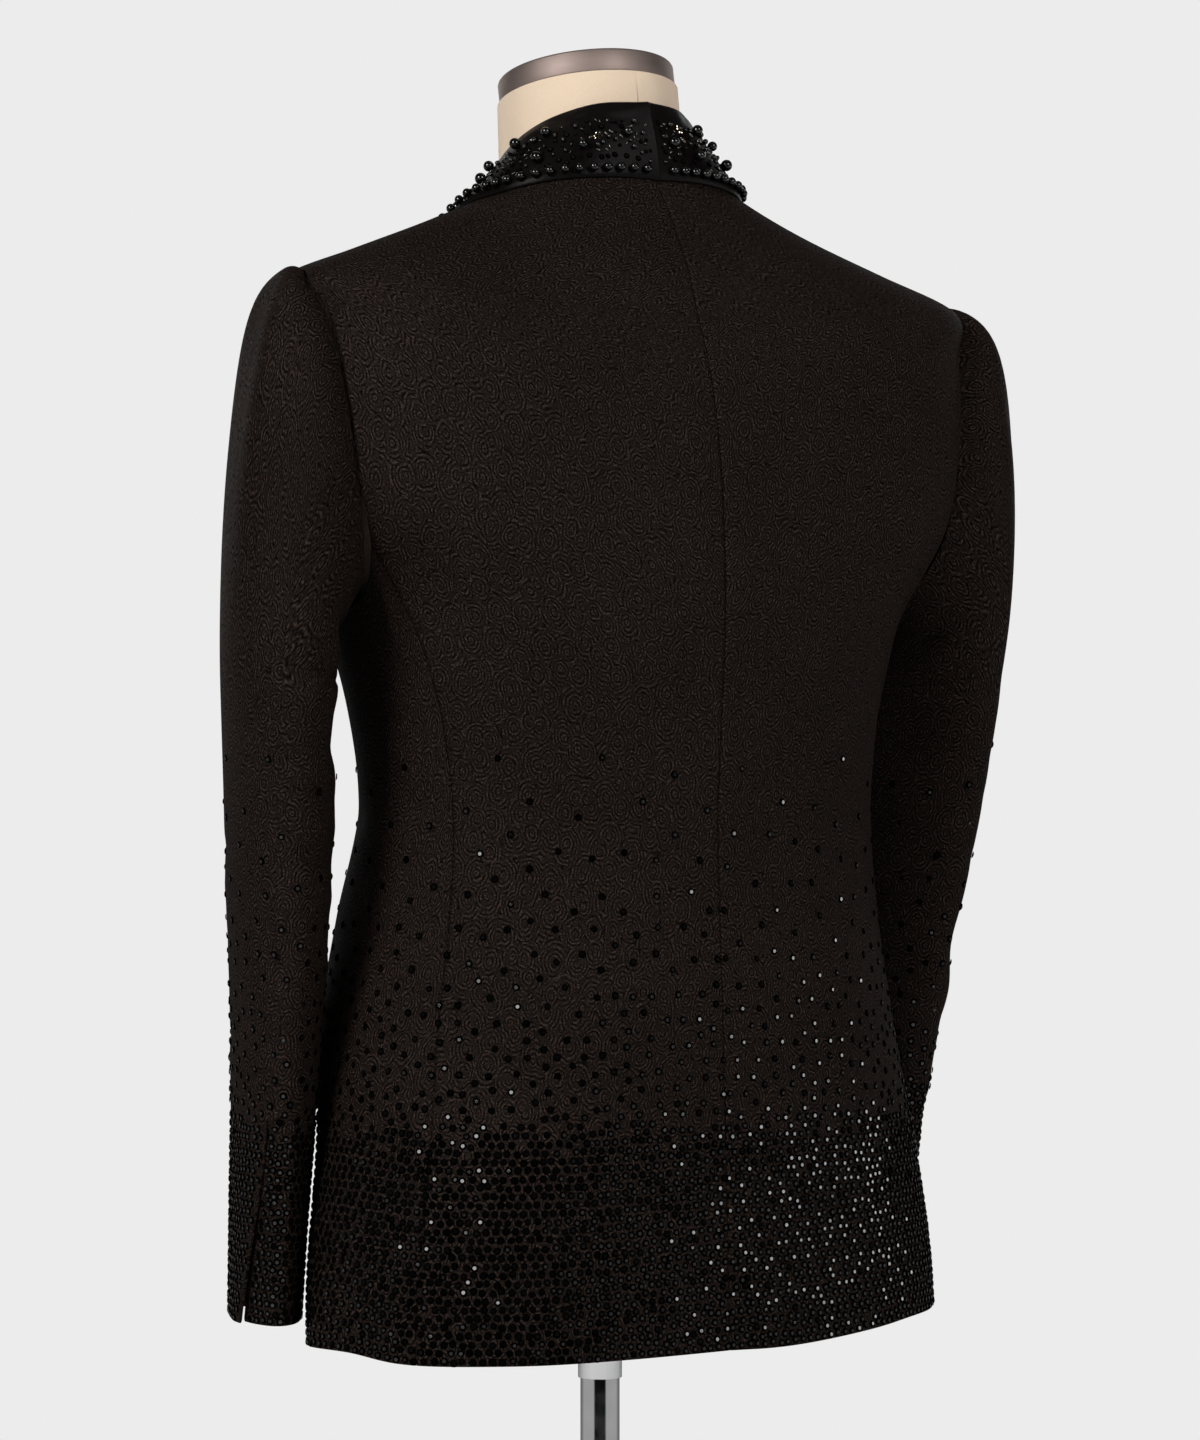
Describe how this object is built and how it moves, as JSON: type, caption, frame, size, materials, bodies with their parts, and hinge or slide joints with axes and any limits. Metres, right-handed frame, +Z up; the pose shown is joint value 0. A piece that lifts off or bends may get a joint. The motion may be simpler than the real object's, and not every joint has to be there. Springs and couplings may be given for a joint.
{
  "type": "tuxedo jacket on a dress form stand",
  "caption": "Beaded black tuxedo jacket with a satin shawl collar, buttoned on a limbless dress form with a round pole and base.",
  "frame": {"origin": "centre of the base's underside, on the floor", "axes": "+Z up, the front of the jacket faces -Y, the wearer's left is +X"},
  "size_m": [0.5588, 0.32, 1.5947],
  "materials": {
    "jacquard_cloth": "matt raised-weave cloth",
    "black_satin": "smooth satin with beads",
    "cream_linen": "ribbed linen cover",
    "brushed_dark_steel": "brushed",
    "chrome": "polished"
  },
  "bodies": {
    "root": {"back_left": "jacquard_cloth", "side_left": "jacquard_cloth", "front_left": "jacquard_cloth", "top_sleeve_left": "jacquard_cloth", "under_sleeve_left": "jacquard_cloth", "shawl_left": "black_satin", "back_right": "jacquard_cloth", "side_right": "jacquard_cloth", "front_right": "jacquard_cloth", "top_sleeve_right": "jacquard_cloth", "under_sleeve_right": "jacquard_cloth", "shawl_right": "black_satin", "front_button": "black_satin", "form_torso": "cream_linen", "neck_cap": "brushed_dark_steel", "pole_ferrule": "chrome", "pole": "chrome", "base": "chrome"}
  },
  "joints": []
}
